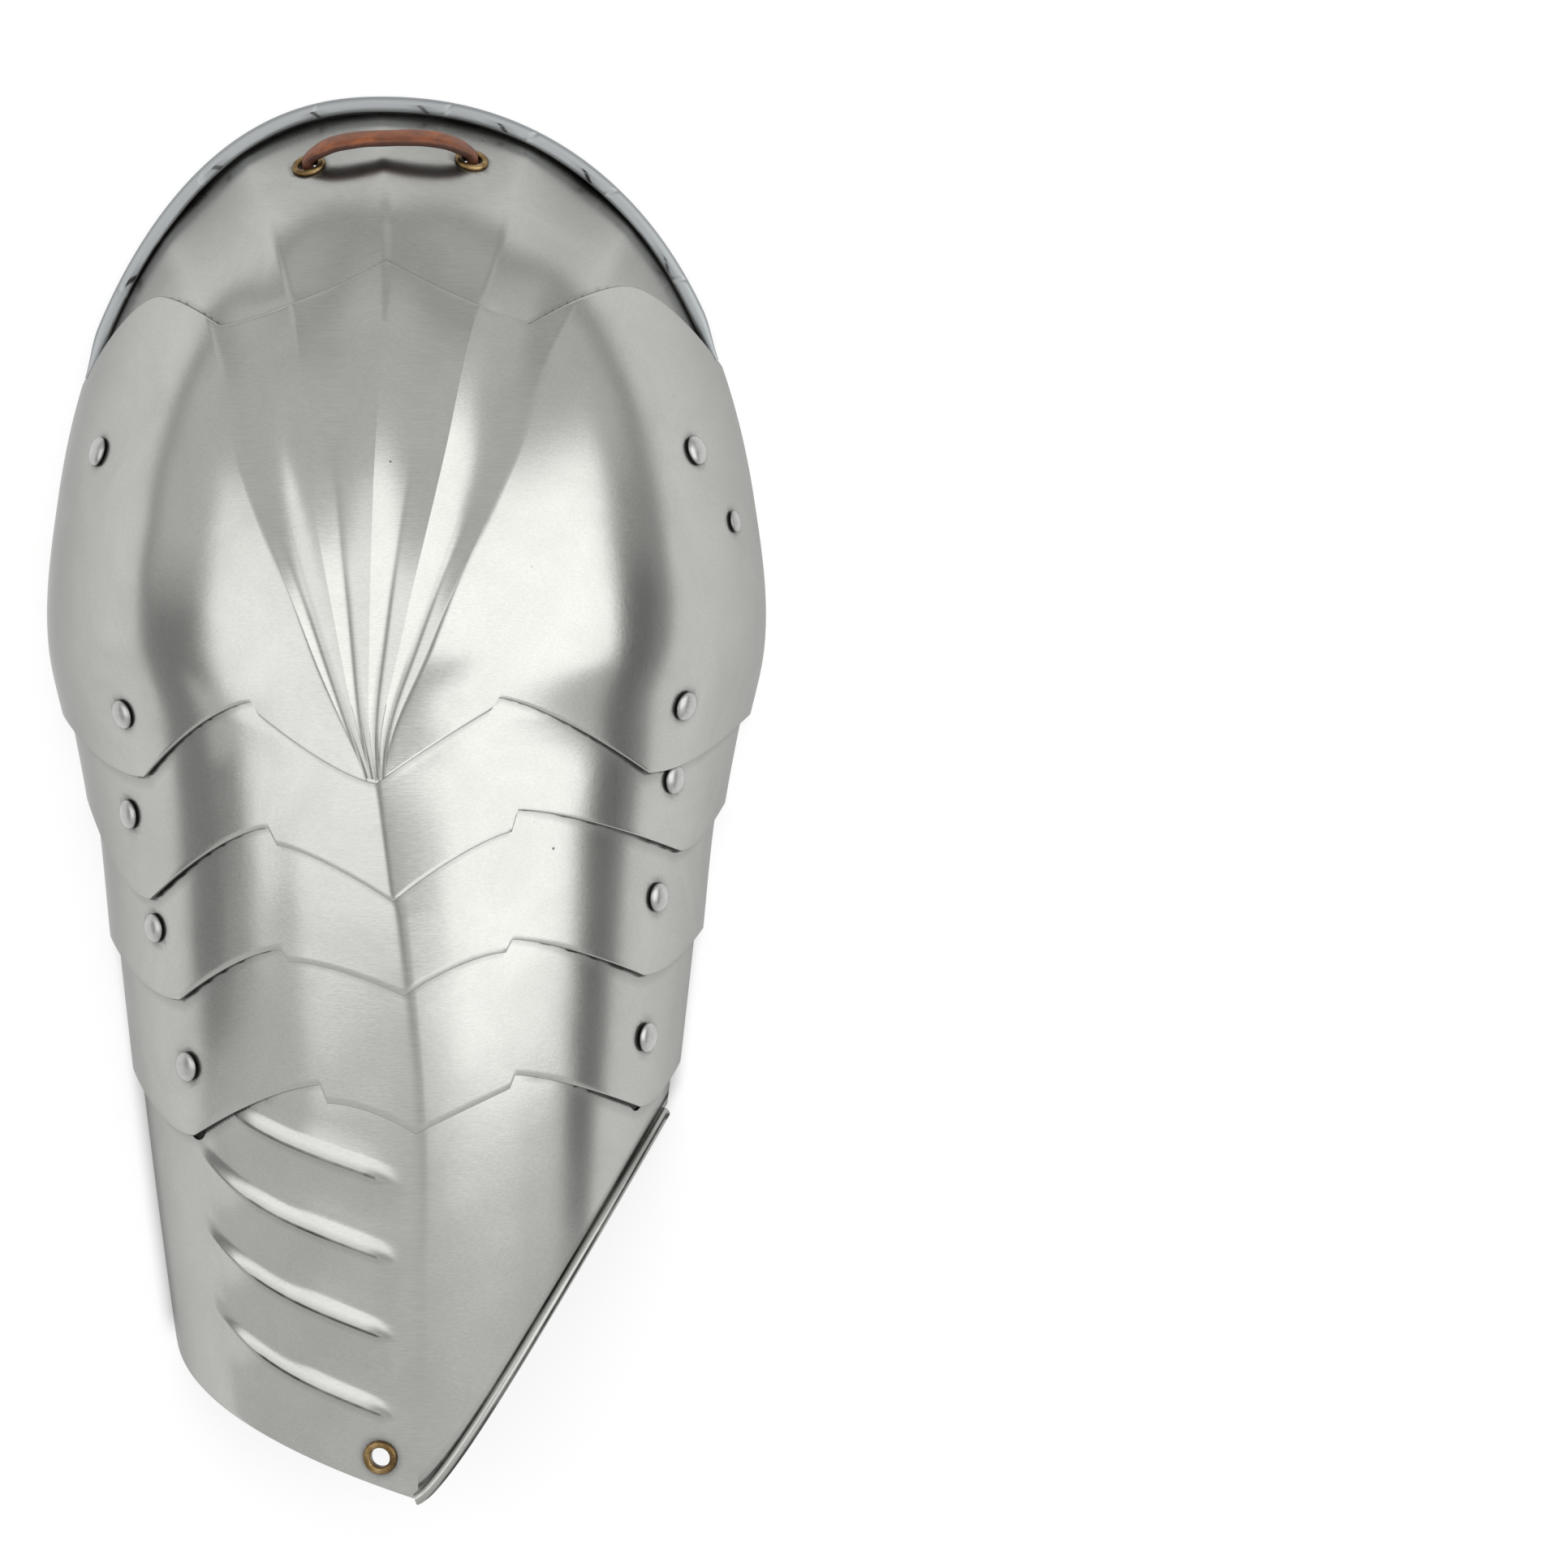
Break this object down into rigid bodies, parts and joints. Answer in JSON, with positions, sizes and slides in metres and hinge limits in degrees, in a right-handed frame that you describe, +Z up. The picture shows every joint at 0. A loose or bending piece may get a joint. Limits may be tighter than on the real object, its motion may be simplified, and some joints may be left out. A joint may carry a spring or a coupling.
{
  "type": "pauldron",
  "caption": "Steel pauldron of overlapping riveted plates: neck plate, fluted dome, three lames, ribbed arm plate, brass eyelets and a leather loop.",
  "frame": {"origin": "middle of the footprint, on the surface that the pauldron lies on, hollow side down", "axes": "+Z up through the dome, +Y towards the neck, +X to the strap rivet's flank, right hand side of the view from above"},
  "size_m": [0.196, 0.3786, 0.09],
  "materials": {
    "steel": "satin polished steel with fine brushing, smudges and a few dark pits",
    "rivet_steel": "polished domed rivet heads, darker round the foot",
    "brass": "antique brass, dull olive gold",
    "leather": "brown lace leather, dark burnished edges"
  },
  "bodies": {
    "main": {"main_plate": "steel", "rivet_main_top_left": "rivet_steel", "rivet_main_top_right": "rivet_steel", "rivet_main_a_left": "rivet_steel", "rivet_main_a_right": "rivet_steel", "rivet_strap": "rivet_steel"},
    "neck": {"top_plate": "steel", "eyelet_loop_left": "brass", "eyelet_loop_right": "brass", "leather_loop": "leather"},
    "first_lame": {"lame_a": "steel", "rivet_a_b_left": "rivet_steel", "rivet_a_b_right": "rivet_steel"},
    "second_lame": {"lame_b": "steel", "rivet_b_c_left": "rivet_steel", "rivet_b_c_right": "rivet_steel"},
    "third_lame": {"lame_c": "steel"},
    "arm_rivets": {"rivet_c_arm_left": "rivet_steel", "rivet_c_arm_right": "rivet_steel"},
    "arm": {"arm_plate": "steel", "eyelet_arm": "brass"}
  },
  "joints": [
    {"name": "neck_hinge", "type": "hinge", "parent": "main", "child": "neck", "pos_m": [-0.00066, 0.09112, 0.03423], "axis": [1, 0.0019, -0.002], "range_deg": [-3, 1]},
    {"name": "first_lame_hinge", "type": "hinge", "parent": "main", "child": "first_lame", "pos_m": [0.00187, 0.02223, 0.04555], "axis": [0.9987, 0.0156, -0.049], "range_deg": [-2, 5]},
    {"name": "second_lame_hinge", "type": "hinge", "parent": "first_lame", "child": "second_lame", "pos_m": [0.0007, -0.00116, 0.03639], "axis": [0.9978, 0.0653, -0.0082], "range_deg": [-2, 6]},
    {"name": "third_lame_hinge", "type": "hinge", "parent": "second_lame", "child": "third_lame", "pos_m": [0.00176, -0.03222, 0.03406], "axis": [0.9978, 0.0626, -0.024], "range_deg": [-3, 6]},
    {"name": "arm_hinge", "type": "hinge", "parent": "third_lame", "child": "arm_rivets", "pos_m": [0.0045, -0.06895, 0.02974], "axis": [0.9955, 0.0622, -0.0712], "range_deg": [-1, 6]},
    {"name": "arm_slide", "type": "slide", "parent": "arm_rivets", "child": "arm", "axis": [0, 0.9848, 0.1736], "range_m": [0, 0.004]}
  ]
}
